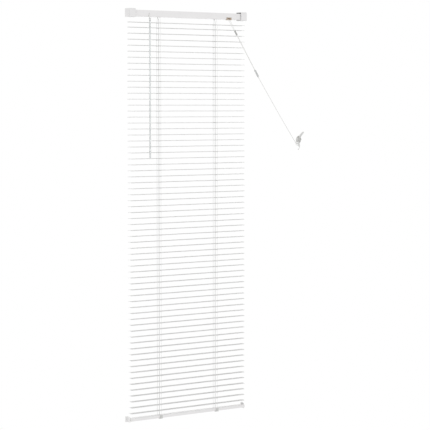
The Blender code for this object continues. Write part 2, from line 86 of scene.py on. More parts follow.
# Camera, from the height of the blind's upper third, well to the left
CAMERA_AZIMUTH = math.radians(36.896)
CAMERA_PITCH = math.radians(3.493)
CAMERA_DISTANCE = 7.1949
CAMERA_ASIDE = 0.1112
CAMERA_HEIGHT = -0.3822
CAMERA_LENS = 149.53
SENSOR_WIDTH = 36.0

# Lights: name, place, size in metres and power in watts
LIGHTS = (("key", (-2.6, -3.6, 1.6), 2.2, 26.0), ("fill", (2.8, 3.0, 0.6), 2.4, 12.0))
LIGHT_AIM = (0, 0, -0.8)
WORLD_WHITE = 1.0

rng = random.Random(23)


# ---------------------------------------------------------------- materials

class Surface:
    """A Principled material, with short ways to add nodes to it."""

    def __init__(self, name, colour, roughness, metallic=0.0):
        self.material = bpy.data.materials.new(name)
        self.material.use_nodes = True
        self.tree = self.material.node_tree
        self.shader = self.tree.nodes["Principled BSDF"]
        self.set("Base Color", (*colour, 1.0))
        self.set("Roughness", roughness)
        self.set("Metallic", metallic)

    def set(self, socket, value):
        self.shader.inputs[socket].default_value = value

    def node(self, kind, links=(), **settings):
        made = self.tree.nodes.new(kind)
        for key, value in settings.items():
            if hasattr(made, key):
                setattr(made, key, value)
            else:
                made.inputs[key.replace("_", " ")].default_value = value
        for socket, source in links:
            self.tree.links.new(source, made.inputs[socket])
        return made

    def link(self, source, socket):
        self.tree.links.new(source, self.shader.inputs[socket])

    def place(self, stretch=(1.0, 1.0, 1.0)):
        coords = self.node("ShaderNodeTexCoord")
        mapped = self.node("ShaderNodeMapping", [("Vector", coords.outputs["Object"])])
        mapped.inputs["Scale"].default_value = stretch
        return mapped.outputs["Vector"]

    def noise(self, scale, detail=3.0, stretch=(1.0, 1.0, 1.0)):
        made = self.node("ShaderNodeTexNoise", [("Vector", self.place(stretch))],
                         Scale=scale, Detail=detail)
        return made.outputs["Fac"]

    def remap(self, source, low, high, start=0.3, end=0.7):
        made = self.node("ShaderNodeMapRange", [("Value", source)])
        for socket, value in (("From Min", start), ("From Max", end),
                              ("To Min", low), ("To Max", high)):
            made.inputs[socket].default_value = value
        return made.outputs["Result"]

    def tint(self, source, colour_a, colour_b):
        mix = self.node("ShaderNodeMix", data_type="RGBA")
        mix.inputs["A"].default_value = (*colour_a, 1.0)
        mix.inputs["B"].default_value = (*colour_b, 1.0)
        self.tree.links.new(source, mix.inputs["Factor"])
        self.link(mix.outputs["Result"], "Base Color")

    def maths(self, operation, a, b=None):
        made = self.node("ShaderNodeMath", operation=operation)
        for socket, value in zip(made.inputs, (a, b)):
            if value is None:
                continue
            if isinstance(value, float):
                socket.default_value = value
            else:
                self.tree.links.new(value, socket)
        return made.outputs["Value"]

    def bump(self, source, distance, strength=1.0):
        made = self.node("ShaderNodeBump", [("Height", source)],
                         Strength=strength, Distance=distance)
        self.link(made.outputs["Normal"], "Normal")


def scaled(colour, factor):
    return tuple(channel * factor for channel in colour)


def enamel(name, colour, roughness, dust, coat=0.25, specular=0.5):
    """Baked enamel: orange peel, a little mottling of the gloss and a film of dust."""
    made = Surface(name, colour, roughness)
    film = made.remap(made.noise(38.0, 6.0, (0.35, 1.0, 1.0)), 0.0, 1.0)
    made.tint(film, colour, scaled(colour, 1.0 - dust))
    gloss = made.remap(made.noise(90.0, 4.0), roughness - 0.06, roughness + 0.1)
    made.link(gloss, "Roughness")
    made.bump(made.noise(1400.0, 2.0), 0.00003, 0.6)
    made.set("Coat Weight", coat)
    made.set("Specular IOR Level", specular)
    made.set("Coat Roughness", 0.22)
    return made.material


def moulded(name, colour, roughness, grain=2200.0):
    """Injection-moulded plastic: a fine spark grain and faint flow marks."""
    made = Surface(name, colour, roughness)
    flow = made.remap(made.noise(60.0, 5.0, (1.0, 1.0, 0.4)), 0.0, 1.0)
    made.tint(flow, colour, scaled(colour, 0.94))
    gloss = made.remap(made.noise(180.0, 3.0), roughness - 0.05, roughness + 0.08)
    made.link(gloss, "Roughness")
    made.bump(made.noise(grain, 3.0), 0.00004, 0.7)
    return made.material


def clear_plastic(name, colour, roughness, passing):
    """Extruded clear plastic: draw lines along its length and a slightly milky body."""
    made = Surface(name, colour, roughness)
    made.set("Transmission Weight", passing)
    made.set("IOR", 1.49)
    drawn = made.noise(900.0, 4.0, (1.0, 1.0, 0.02))
    made.link(made.remap(drawn, roughness, roughness + 0.14), "Roughness")
    made.bump(made.noise(1300.0, 2.0, (1.0, 1.0, 0.03)), 0.00003, 0.5)
    milky = made.remap(made.noise(120.0, 4.0, (1.0, 1.0, 0.2)), 0.0, 1.0)
    made.tint(milky, colour, scaled(colour, 0.95))
    return made.material


def brushed(name, colour, roughness, metallic, stretch):
    """Plated or lacquered metal with drawing lines and duller patches."""
    made = Surface(name, colour, roughness, metallic)
    lines = made.noise(700.0, 4.0, stretch)
    patches = made.noise(70.0, 5.0)
    made.tint(made.remap(patches, 0.0, 1.0), colour, scaled(colour, 0.78))
    made.link(made.remap(lines, roughness - 0.08, roughness + 0.16), "Roughness")
    made.bump(lines, 0.00003, 0.5)
    return made.material


def braid(name, colour, strands, pitch):
    """Braided cord: two sets of strands cross round it.

    U runs round the cord and V along it, in metres.
    """
    made = Surface(name, colour, 0.85)
    coords = made.node("ShaderNodeTexCoord")
    split = made.node("ShaderNodeSeparateXYZ", [("Vector", coords.outputs["UV"])])
    around = made.maths("MULTIPLY", split.outputs["X"], math.pi * strands)
    along = made.maths("MULTIPLY", split.outputs["Y"], math.pi / pitch)
    one_way = made.maths("ABSOLUTE", made.maths("SINE", made.maths("ADD", around, along)))
    other_way = made.maths("ABSOLUTE",
                           made.maths("SINE", made.maths("SUBTRACT", around, along)))
    weave_and_groove_shade = made.maths("MULTIPLY", one_way, other_way)
    fluff = made.maths("MULTIPLY", made.noise(5200.0, 2.0), 0.25)
    # The grooves between the strands are painted darker: painted shade. The same pattern also
    # drives the bump.
    made.tint(weave_and_groove_shade, scaled(colour, 0.72), colour)
    made.bump(made.maths("ADD", weave_and_groove_shade, fluff), 0.00016, 0.8)
    made.set("Sheen Weight", 0.2)
    made.set("Sheen Roughness", 0.5)
    return made.material


# Off-white slat enamel, darkened further as painted shade of the stacked slats.
SLAT_SHADED_PAINT = enamel("slat_enamel_with_painted_shade", (0.65, 0.65, 0.645), 0.55, 0.05, 0.0, 0.22)
STEEL_PAINT = enamel("steel_enamel", (0.745, 0.735, 0.737), 0.38, 0.04)
BRACKET_PAINT = enamel("bracket_enamel", (0.735, 0.727, 0.729), 0.42, 0.05)
HOLD_DOWN_PAINT = enamel("hold_down_enamel", (0.79, 0.785, 0.785), 0.45, 0.07)
WHITE_MOULDED = moulded("white_moulded", (0.74, 0.74, 0.725), 0.42)
GREY_MOULDED = moulded("grey_moulded", (0.5, 0.5, 0.49), 0.48)
# The cleat is white moulded plastic; its grey is painted shade from the cord wound round it.
CLEAT_SHADED_MOULDED = moulded("cleat_painted_shade_moulded", (0.62, 0.62, 0.61), 0.4)
CLIP_MOULDED = moulded("clip_moulded", (0.55, 0.55, 0.54), 0.45)
BEAD_MOULDED = moulded("bead_moulded", (0.4, 0.4, 0.39), 0.4)
WAND_CLEAR = clear_plastic("wand_clear", (0.8, 0.82, 0.82), 0.1, 0.55)
CONNECTOR_CLEAR = clear_plastic("connector_clear", (0.62, 0.63, 0.63), 0.14, 0.5)
ZINC = brushed("zinc_plate", (0.62, 0.62, 0.6), 0.34, 1.0, (0.05, 1.0, 1.0))
BRONZE = brushed("bronze_lacquer", (0.50, 0.40, 0.31), 0.42, 0.3, (0.08, 1.0, 1.0))
LADDER_BRAID = braid("ladder_braid", (0.83, 0.83, 0.82), 3.0, 1.6 * MM)
# The lift cords are the same cord as the pull cords, darkened as painted shade inside the slat
# stack.
LIFT_SHADED_BRAID = braid("lift_painted_shade_braid", (0.52, 0.52, 0.51), 4.0, 2.0 * MM)
# The pull cords are lightened to offset the shade between the two close-running cords: painted
# light.
PULL_LIT_BRAID = braid("pull_painted_light_braid", (0.88, 0.88, 0.86), 4.0, 2.2 * MM)
# The tail is the same cord as the lift and pull cords, darkened as painted shade of its winding on
# the cleat.
TAIL_SHADED_BRAID = braid("tail_painted_shade_braid", (0.66, 0.66, 0.64), 4.0, 2.2 * MM)


# ---------------------------------------------------------------- mesh helpers

def piece(name, mesh, finish):
    obj = bpy.data.objects.new(name, mesh)
    bpy.context.scene.collection.objects.link(obj)
    mesh.materials.clear()
    mesh.materials.append(finish)
    return obj


def from_bmesh(name, shape, crease=35.0):
    mesh = bpy.data.meshes.new(name)
    bmesh.ops.recalc_face_normals(shape, faces=shape.faces)
    shape.to_mesh(mesh)
    shape.free()
    mesh.shade_smooth()
    mesh.set_sharp_from_angle(angle=math.radians(crease))
    return mesh


def modified(mesh, crease, *steps):
    """The mesh after modifiers, each given as (kind, settings)."""
    obj = bpy.data.objects.new("work", mesh)
    bpy.context.scene.collection.objects.link(obj)
    for kind, settings in steps:
        step = obj.modifiers.new(kind.lower(), kind)
        for key, value in settings.items():
            setattr(step, key, value)
    bpy.context.view_layer.update()
    depsgraph = bpy.context.evaluated_depsgraph_get()
    made = bpy.data.meshes.new_from_object(obj.evaluated_get(depsgraph))
    bpy.data.objects.remove(obj, do_unlink=True)
    made.shade_smooth()
    made.set_sharp_from_angle(angle=math.radians(crease))
    return made


def joined(*meshes):
    """Several meshes as one."""
    shape = bmesh.new()
    for mesh in meshes:
        shape.from_mesh(mesh)
    made = bpy.data.meshes.new("joined")
    shape.to_mesh(made)
    shape.free()
    return made


def smooth_route(route, steps):
    """Points on a smooth curve through the route's own points, so many for each stretch."""
    ends = [Vector(p) for p in route]
    ends = [2 * ends[0] - ends[1]] + ends + [2 * ends[-1] - ends[-2]]
    points = []
    for before, a, b, after in zip(ends, ends[1:], ends[2:], ends[3:]):
        for i in range(steps):
            t = i / steps
            points.append(0.5 * (2 * a + (b - before) * t
                                 + (2 * before - 5 * a + 4 * b - after) * t * t
                                 + (3 * a - before - 3 * b + after) * t * t * t))
    return points + [ends[-2]]


def sweep(name, points, radius, sides=10, radii=None, crease=60.0):
    """A tube along the points, with U round it and V along it in metres."""
    points = [Vector(p) for p in points]
    shape = bmesh.new()
    uv = shape.loops.layers.uv.new("uv")
    tangents = []
    last = len(points) - 1
    for i in range(len(points)):
        tangents.append((points[min(i + 1, last)] - points[max(i - 1, 0)]).normalized())
    side = tangents[0].orthogonal().normalized()
    rings, distances, travelled = [], [], 0.0
    for i, (point, tangent) in enumerate(zip(points, tangents)):
        side = (side - tangent * side.dot(tangent)).normalized()
        up = tangent.cross(side)
        size = radius * (radii[i] if radii else 1.0)
        rings.append([shape.verts.new(point + side * (size * math.cos(math.tau * k / sides))
                                      + up * (size * math.sin(math.tau * k / sides)))
                      for k in range(sides)])
        travelled += (point - points[i - 1]).length if i else 0.0
        distances.append(travelled)
    for i in range(len(rings) - 1):
        for k in range(sides):
            n = (k + 1) % sides
            lower, upper = rings[i], rings[i + 1]
            face = shape.faces.new((lower[k], lower[n], upper[n], upper[k]))
            corners = ((k, i), (k + 1, i), (k + 1, i + 1), (k, i + 1))
            for loop, (u, v) in zip(face.loops, corners):
                loop[uv].uv = (u / sides, distances[v])
    shape.faces.new(list(reversed(rings[0])))
    shape.faces.new(rings[-1])
    return from_bmesh(name, shape, crease)


ON_AXIS = 1e-7                # a lathe radius below this is a single point


def lathe(name, profile, centre, direction, steps=32, ring=False, crease=40.0):
    """A profile of (radius, height) turned about an axis. A ring's profile closes on itself."""
    turn = Vector(direction).normalized().to_track_quat("Z", "Y").to_matrix()
    shape = bmesh.new()
    rows = []
    for radius, height in profile:
        row = []
        for k in range(1 if radius < ON_AXIS else steps):
            angle = math.tau * k / steps
            local = Vector((radius * math.cos(angle), radius * math.sin(angle), height))
            row.append(shape.verts.new(Vector(centre) + turn @ local))
        rows.append(row)
    pairs = list(zip(rows, rows[1:])) + ([(rows[-1], rows[0])] if ring else [])
    for a, b in pairs:
        for k in range(steps):
            n = (k + 1) % steps
            corners = [a[k % len(a)], a[n % len(a)], b[n % len(b)], b[k % len(b)]]
            unique = list(dict.fromkeys(corners))
            if len(unique) > 2:
                shape.faces.new(unique)
    return from_bmesh(name, shape, crease)


def arc(centre, radius, start, end, steps):
    """Points of an arc in a profile, its angles in degrees."""
    turn = [math.radians(start + (end - start) * i / steps) for i in range(steps + 1)]
    return [(centre[0] + radius * math.cos(a), centre[1] + radius * math.sin(a)) for a in turn]


def soften(node, finish, width, segments=2, angle=40.0):
    """A frame node keeps its shape, with its edges rounded over and a finish of its own."""
    obj = frame["nodes"][node]
    obj.data.materials.clear()
    obj.data.materials.append(finish)
    rounding = obj.modifiers.new("rounding", "BEVEL")
    rounding.width = width
    rounding.segments = segments
    rounding.limit_method = "ANGLE"
    rounding.angle_limit = math.radians(angle)
    rounding.harden_normals = True
    obj.data.shade_smooth()
    obj.data.set_sharp_from_angle(angle=math.radians(angle))


def middle(node):
    low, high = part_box(node)
    return (low + high) / 2


# ---------------------------------------------------------------- slats

slat_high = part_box(f"slat_{FIRST_SOLID:02d}")[1]
last_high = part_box(f"slat_{LAST_SOLID:02d}")[1]
SLAT_HALF_LENGTH = slat_high.x
SLAT_HALF_WIDTH = slat_high.y
SLAT_PITCH = (slat_high.z - last_high.z) / (LAST_SOLID - FIRST_SOLID)
SECOND_SLAT_Z = slat_high.z - CROWN / 2
LADDER_X = middle("ladder_front_right").x
LADDER_Y = middle("ladder_rear_right").y


def slat_z(number):
    if number == 1:
        return SECOND_SLAT_Z + FIRST_GAP
    return SECOND_SLAT_Z - SLAT_PITCH * (number - 2)


def half_width(x):
    """Half of the slat's width at a distance along it, less towards its rounded corners."""
    inside = SLAT_HALF_LENGTH - abs(x)
    if inside >= CORNER:
        return SLAT_HALF_WIDTH
    bulge = math.sqrt(max(CORNER ** 2 - (CORNER - inside) ** 2, 0.0))
    return SLAT_HALF_WIDTH - CORNER + bulge


def slat_stations():
    """Distances along the slat: close together at the corners and slots."""
    ends = [SLAT_HALF_LENGTH - CORNER * (1 - math.cos(math.radians(a)))
            for a in (0, 18, 36, 54, 72, 90)]
    slot = [LADDER_X + SLOT_HALF_WIDTH * s
            for s in (-3.0, -1.0, -0.9, -0.6, 0.0, 0.6, 0.9, 1.0, 3.0)]
    plain = [SLAT_HALF_LENGTH * s for s in (0.12, 0.24, 0.36, 0.62, 0.74, 0.86)]
    half = ends + slot + plain
    return sorted([-x for x in half] + [0.0] + half)


def slat_sheet():
    """One slat about its own middle: a crowned strip with round corners and two long slots."""
    stations = slat_stations()
    fractions = [-1.0, -0.94, -0.82, -0.69, -SLOT_HALF_LENGTH / SLAT_HALF_WIDTH, -0.37, -0.18]
    fractions = fractions + [0.0] + [-f for f in reversed(fractions)]
    slot_rows = (4, len(fractions) - 5)
    straight = SLOT_HALF_LENGTH - SLOT_HALF_WIDTH
    shape = bmesh.new()
    grid = []
    for x in stations:
        across = abs(abs(x) - LADDER_X)
        column = []
        for row, fraction in enumerate(fractions):
            y = fraction * half_width(x)
            if row in slot_rows and across <= SLOT_HALF_WIDTH * 1.001:
                reach = straight + math.sqrt(max(SLOT_HALF_WIDTH ** 2 - across ** 2, 0.0))
                y = math.copysign(reach, fraction)
            z = CROWN / 2 - CROWN * (y / SLAT_HALF_WIDTH) ** 2
            column.append(shape.verts.new((x, y, z)))
        grid.append(column)
    for i in range(len(stations) - 1):
        centre = abs((stations[i] + stations[i + 1]) / 2)
        in_slot = abs(centre - LADDER_X) < SLOT_HALF_WIDTH
        for row in range(len(fractions) - 1):
            if in_slot and slot_rows[0] <= row < slot_rows[1]:
                continue
            near, far = grid[i], grid[i + 1]
            shape.faces.new((near[row], far[row], far[row + 1], near[row + 1]))
    sheet = from_bmesh("slat_sheet", shape)
    return modified(sheet, 40.0, ("SOLIDIFY", {"thickness": SHEET_THICK, "offset": 0.0}))


def make_slats():
    """Every slat hangs a hair out of true, as real ones do."""
    sheet = slat_sheet()
    for number in range(1, SLAT_COUNT + 1):
        mesh = sheet.copy()
        tilt = Matrix.Rotation(math.radians(rng.uniform(-TILT_STRAY, TILT_STRAY)), 4, "X")
        yaw = Matrix.Rotation(math.radians(rng.uniform(-YAW_STRAY, YAW_STRAY)), 4, "Z")
        drift = Vector((rng.uniform(-SIDE_STRAY, SIDE_STRAY) * MM, 0.0,
                        slat_z(number) + rng.uniform(-HEIGHT_STRAY, HEIGHT_STRAY) * MM))
        mesh.transform(Matrix.Translation(drift) @ yaw @ tilt)
        slat = piece(f"blind_slat_{number:02d}", mesh, SLAT_SHADED_PAINT)
        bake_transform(slat)
        if number % SOLID_STEP == FIRST_SOLID % SOLID_STEP:
            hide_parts(f"slat_{number:02d}")


# ---------------------------------------------------------------- ladders

RAIL_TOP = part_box("bottom_rail")[1].z
RAIL_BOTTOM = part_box("bottom_rail")[0].z
RAIL_HALF_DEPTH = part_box("bottom_rail")[1].y
HEAD_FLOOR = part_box("headrail")[0].z
DRUM_Z = middle("drum_left").z
DRUM_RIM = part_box("drum_left")[1].y
DRUM_CORD_Y = DRUM_RIM + LADDER_CORD_RADIUS + 0.3 * MM
LADDER_TOP_DROP = 1.5 * MM       # the cord leaves its drum this far below the rod's axis
WRAP_START = -10                 # degrees round the drum, up from the level of its axis
WRAP_TURN = 88
# Swellings of the ladder cord round each rung: height in mm from the rung, and size
WEAVE = ((2.4, 1.0), (0.9, 1.3), (-0.9, 1.3), (-2.4, 1.0))


def ladder_line(x, face):
    """One ladder cord from drum to bottom rail, swollen where each rung is woven in."""
    points = [Vector((x, face * DRUM_CORD_Y, DRUM_Z - LADDER_TOP_DROP)),
              Vector((x, face * DRUM_CORD_Y, HEAD_FLOOR)),
              Vector((x, face * (DRUM_CORD_Y + 0.4 * MM), HEAD_FLOOR - 11 * MM)),
              Vector((x, face * (LADDER_Y - 1.6 * MM), slat_z(1) + 5 * MM))]
    radii = [1.0] * len(points)
    for number in range(1, SLAT_COUNT + 1):
        z = slat_z(number) - RUNG_DROP
        for offset, size in WEAVE:
            points.append(Vector((x, face * LADDER_Y, z + offset * MM)))
            radii.append(size)
        if number < SLAT_COUNT:
            gap = (slat_z(number) - slat_z(number + 1)) / 2
            points.append(Vector((x, face * LADDER_Y, z - gap)))
            radii.append(1.0)
    points.append(Vector((x, face * (LADDER_Y - 0.2 * MM), RAIL_TOP - 3 * MM)))
    radii.append(1.0)
    return points, radii


def rung(x, z):
    """A thread from the front cord to the rear one, under a slat."""
    half = LADDER_Y
    points = [Vector((x, -half + 2 * half * i / 8, z)) for i in range(9)]
    return sweep("rung", points, RUNG_RADIUS, 6)


def make_ladders():
    for side, x in (("left", -LADDER_X), ("right", LADDER_X)):
        for face_name, face in (("front", -1), ("rear", 1)):
            points, radii = ladder_line(x, face)
            tube = sweep("ladder", points, LADDER_CORD_RADIUS, 8, radii)
            cord = piece(f"ladder_cord_{face_name}_{side}", tube, LADDER_BRAID)
            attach(cord, f"ladder_{face_name}")
            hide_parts(f"ladder_{face_name}_{side}")
            make_drum_wrap(side, face_name, x, face)
            make_ladder_end(side, face_name, x, face)
        threads = [rung(x + offset, slat_z(number) - RUNG_DROP)
                   for number in range(1, SLAT_COUNT + 1) for offset in (-RUNG_SPREAD, RUNG_SPREAD)]
        loops = [rung_loop(x, face, slat_z(number) - RUNG_DROP)
                 for number in range(1, SLAT_COUNT + 1) for face in (-1, 1)]
        rungs = piece(f"ladder_rungs_{side}", joined(*threads, *loops), LADDER_BRAID)
        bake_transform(rungs)


def rung_loop(x, face, z):
    """The short bight where a slat's two rungs leave the ladder cord."""
    points = [Vector((x + side * RUNG_SPREAD, face * (LADDER_Y + lift), z))
              for side, lift in ((-1, 0.0), (-0.6, 0.25 * MM), (0, 0.35 * MM),
                                 (0.6, 0.25 * MM), (1, 0.0))]
    return sweep("rung_loop", points, RUNG_RADIUS, 6)


def make_drum_wrap(side, face_name, x, face):
    """The end of a ladder cord, laid over its drum."""
    points = []
    for i in range(9):
        angle = math.radians(WRAP_START + WRAP_TURN * i / 8)
        points.append(Vector((x + face * 0.9 * MM, face * DRUM_CORD_Y * math.cos(angle),
                              DRUM_Z + DRUM_CORD_Y * math.sin(angle))))
    wrap = piece(f"drum_wrap_{face_name}_{side}",
                 sweep("wrap", points, LADDER_CORD_RADIUS, 8), LADDER_BRAID)
    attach(wrap, "tilt_rod")


def make_ladder_end(side, face_name, x, face):
    """The ladder's foot, held under the clip that grips the bottom rail."""
    out = RAIL_HALF_DEPTH + LADDER_CORD_RADIUS + 0.1 * MM
    route = [(x, face * (out - 0.4 * MM), RAIL_TOP + 0.4 * MM),
             (x, face * out, RAIL_TOP - 3 * MM), (x, face * out, RAIL_BOTTOM + 3 * MM)]
    tube = sweep("foot", smooth_route(route, 5), LADDER_CORD_RADIUS, 8)
    fold = piece(f"ladder_foot_{face_name}_{side}", tube, LADDER_BRAID)
    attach(fold, "bottom_rail")


# ---------------------------------------------------------------- lift cords

LIFT_RUN_Y = {"left": 9.4 * MM, "right": 6.4 * MM}   # the cords' flat runs in the headrail
LIFT_RUN_Z = -27.2 * MM
LIFT_MIDWAY_Z = -0.8
LIFT_TURN_Z = -0.058             # where a cord starts to lean towards its flat run


def make_lift_cords():
    """Each cord rises from the bottom rail and runs to the cord lock."""
    lock_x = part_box("cord_lock_housing")[0].x
    z = LIFT_RUN_Z
    for side, x in (("left", -LADDER_X), ("right", LADDER_X)):
        y = LIFT_RUN_Y[side]
        bend = [(x, 0, LIFT_TURN_Z), (x, 0.6 * MM, -0.044), (x, y * 0.7, -0.033),
                (x + 0.6 * MM, y * 0.93, -0.029), (x + 3 * MM, y, z - 0.1 * MM),
                (x + 9 * MM, y, z), (x + 14 * MM, y, z)]
        points = [Vector((x, 0, RAIL_TOP - 0.6 * MM))]
        points += [Vector((x, 0, RAIL_TOP + step * MM)) for step in range(1, 11)]
        points += [Vector((x, 0, LIFT_MIDWAY_Z))] + smooth_route(bend, 5)
        points += [Vector((lock_x - 0.3 * MM, y, z))]
        tube = sweep("lift", points, LIFT_RADIUS, 10)
        # Darker cord colour: painted shade.
        cord = piece(f"lift_line_{side}", tube, LIFT_SHADED_BRAID)
        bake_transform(cord)
        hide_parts(f"lift_cord_{side}")


# ---------------------------------------------------------------- pull cords and cleat

LOCK_X = middle("cord_lock_housing").x
LOCK_MOUTH = Vector((LOCK_X, -18.0 * MM, -38.0 * MM))
CONNECTOR = Vector((343.0, -14.0, -248.5)) * MM
CONNECTOR_LENGTH = 34.0 * MM
STOP_DISTANCE = 56.0 * MM
STOP_LENGTH = 20.0 * MM
STOP_BORE = 2.2 * MM
CONNECTOR_RADIUS = 4.0 * MM
PULL_SPACING = 2.0 * MM
GAP = 0.3 * MM                   # between the connector's ends and the cords
CLEAT = Vector((586.0, 0.0, -522.0)) * MM
CLEAT_LEAN = math.radians(20.0)
HORN_RADIUS = 4.4 * MM
WINDING_TURNS = 3

# The tail cord's bends, in mm: on its way to the cleat, and in its loose end
TAIL_SPAN = ((460.0, -1.0, -399.0), (520.0, 5.7, -472.5))
TAIL_END = ((587.5, 10.6, -549.5), (593.5, 10.2, -555.0), (591.5, 10.6, -561.0),
            (588.0, 11.0, -565.0))
PULL = (CONNECTOR - LOCK_MOUTH).normalized()

# Horn sections, from one tip to the middle: mm along, mm towards the wall, and size
HORN = [(-33.2, -12.6, 0.15), (-32.8, -12.2, 0.5), (-31.7, -11.2, 0.72), (-29.5, -9.2, 0.84),
        (-25.5, -5.7, 0.92), (-19, -0.8, 0.97), (-9, 4.4, 1.0), (0, 5.2, 1.06)]
# Foot sections, from the wall outwards: mm towards the wall, half-width and half-length
FOOT = ((16.5, 6.4, 12.6), (15.4, 6.4, 12.6), (14.6, 5.6, 11.8), (9.0, 5.0, 11.0), (6.0, 5.2, 12.0))
FOOT_SIDES = 32


def cleat_point(along, across, y):
    """A point on the cleat, by its distances in mm along and across its leaning length."""
    up = Vector((math.sin(CLEAT_LEAN), 0, math.cos(CLEAT_LEAN)))
    right = Vector((math.cos(CLEAT_LEAN), 0, -math.sin(CLEAT_LEAN)))
    return CLEAT + (up * along + right * across + Vector((0, y, 0))) * MM


def make_stop():
    """A waisted bead that both cords run through."""
    half, rounding, waist = STOP_LENGTH / 2, 0.9 * MM, 3.3 * MM
    profile = [(STOP_BORE, half), *arc((2.7 * MM, half - rounding), rounding, 90, 10, 4),
               (waist, half * 0.35), (waist, -half * 0.35),
               *arc((2.7 * MM, rounding - half), rounding, -10, -90, 4), (STOP_BORE, -half)]
    turned = lathe("bead", profile, LOCK_MOUTH + PULL * STOP_DISTANCE, PULL, 36, ring=True)
    bead = piece("cord_bead", turned, BEAD_MOULDED)
    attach(bead, "root")
    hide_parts("cord_stop")
    return bead


def make_connector():
    """A capsule whose two halves snap together round the cords' knots."""
    half, wide = CONNECTOR_LENGTH / 2, CONNECTOR_RADIUS
    upper = [(0.0, half), (1.9 * MM, half),
             *arc((wide - 2.2 * MM, half - 2.2 * MM), 2.2 * MM, 80, 0, 6),
             (wide, 1.2 * MM), (wide - 0.5 * MM, 0.7 * MM), (0.0, 0.7 * MM)]
    lower = [(0.0, 0.6 * MM), (wide - 0.6 * MM, 0.6 * MM), (wide - 0.6 * MM, 0.0),
             (wide, -0.5 * MM), *arc((wide - 2.6 * MM, 2.6 * MM - half), 2.6 * MM, 0, -80, 6),
             (1.4 * MM, -half), (0.0, -half)]
    halves = []
    for name, profile in (("upper", upper), ("lower", lower)):
        capsule = piece(f"capsule_{name}", lathe(name, profile, CONNECTOR, -PULL, 40),
                        CONNECTOR_CLEAR)
        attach(capsule, "root")
        halves.append(capsule)
    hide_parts("cord_connector")
    return halves


def make_pull_cords():
    across = PULL.cross(Vector((0, 1, 0))).normalized()
    stop = LOCK_MOUTH + PULL * STOP_DISTANCE
    top_of_connector = CONNECTOR - PULL * (CONNECTOR_LENGTH / 2 + GAP)
    for name, sign in (("a", -1), ("b", 1)):
        shift = across * (sign * PULL_SPACING / 2)
        route = [(LOCK_X + sign * 3.5 * MM, -11.5 * MM, -28.8 * MM),
                 (LOCK_X + sign * 3.4 * MM, -14.6 * MM, -33.0 * MM),
                 (LOCK_X + (1.0 + sign * 3.2) * MM, -17.2 * MM, -38.0 * MM),
                 stop - PULL * 34 * MM + shift * 2.6, stop - PULL * 14 * MM + shift * 1.2,
                 stop + PULL * 4 * MM + shift, stop + PULL * 60 * MM + shift,
                 top_of_connector + shift]
        points = smooth_route(route, 8)
        tube = sweep("pull", points, PULL_RADIUS, 10)
        cord = piece(f"pull_line_{name}", tube, PULL_LIT_BRAID)
        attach(cord, "root")
        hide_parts(f"pull_cord_{name}")


def winding_route():
    """Figure-eight turns: behind one horn, over the cleat's front, behind the other and back."""
    route = []
    for turn in range(WINDING_TURNS):
        out, rise, wide = 0.6 * turn, 1.7 * turn, 6.6 + 0.4 * turn
        front = -1.1 - 3.7 * turn
        stops = ((-19.4 - out, -1.0, 12.4 - rise), (-16.5 - out, wide, 10.4 - rise),
                 (-9.5, wide, 4.6 - rise), (-2.5, 0.0, front),
                 (4.0, -wide, 5.0 - rise), (9.2 + out, -wide, 11.0 - rise),
                 (12.6 + out, 0.0, 12.6 - rise), (9.2 + out, wide, 11.0 - rise),
                 (4.0, wide, 4.6 - rise), (-2.5, 0.0, front - 1.85),
                 (-9.5, -wide, 4.2 - rise), (-16.5 - out, -wide, 9.6 - rise))
        route += [cleat_point(*stop) for stop in stops]
    return route


def make_cord_tail():
    """A single cord from the connector, made fast on the cleat, with a short knotted end."""
    start = CONNECTOR + PULL * (CONNECTOR_LENGTH / 2 + GAP)
    span = [start, start + PULL * 20 * MM, *(Vector(bend) * MM for bend in TAIL_SPAN),
            cleat_point(-16.5, -8.8, 12.4)]
    end = [cleat_point(-25.0, -1.0, 11.4), *(Vector(bend) * MM for bend in TAIL_END)]
    points = smooth_route(span + winding_route() + end, 7)
    # The tail takes the darker cord colour: painted shade.
    cord = piece("pull_line_tail", sweep("tail", points, PULL_RADIUS, 10), TAIL_SHADED_BRAID)
    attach(cord, "root")
    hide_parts("pull_cord_tail", "cord_winding")
    knot = make_knot(points[-1], (points[-1] - points[-2]).normalized())


def make_knot(centre, direction):
    """An overhand knot, pulled tight: a trefoil of cord on the cord's end."""
    turn = direction.to_track_quat("Z", "Y").to_matrix()
    points = []
    for i in range(37):
        a = math.tau * i / 36
        local = Vector(((math.sin(a) + 2 * math.sin(2 * a)) * 0.62,
                        (math.cos(a) - 2 * math.cos(2 * a)) * 0.62, -math.sin(3 * a) * 0.8))
        points.append(centre + turn @ (local * MM))
    # The knot takes the tail's painted shade.
    knot = piece("cord_knot", sweep("knot", points, PULL_RADIUS * 0.85, 8), TAIL_SHADED_BRAID)
    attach(knot, "root")
    return knot


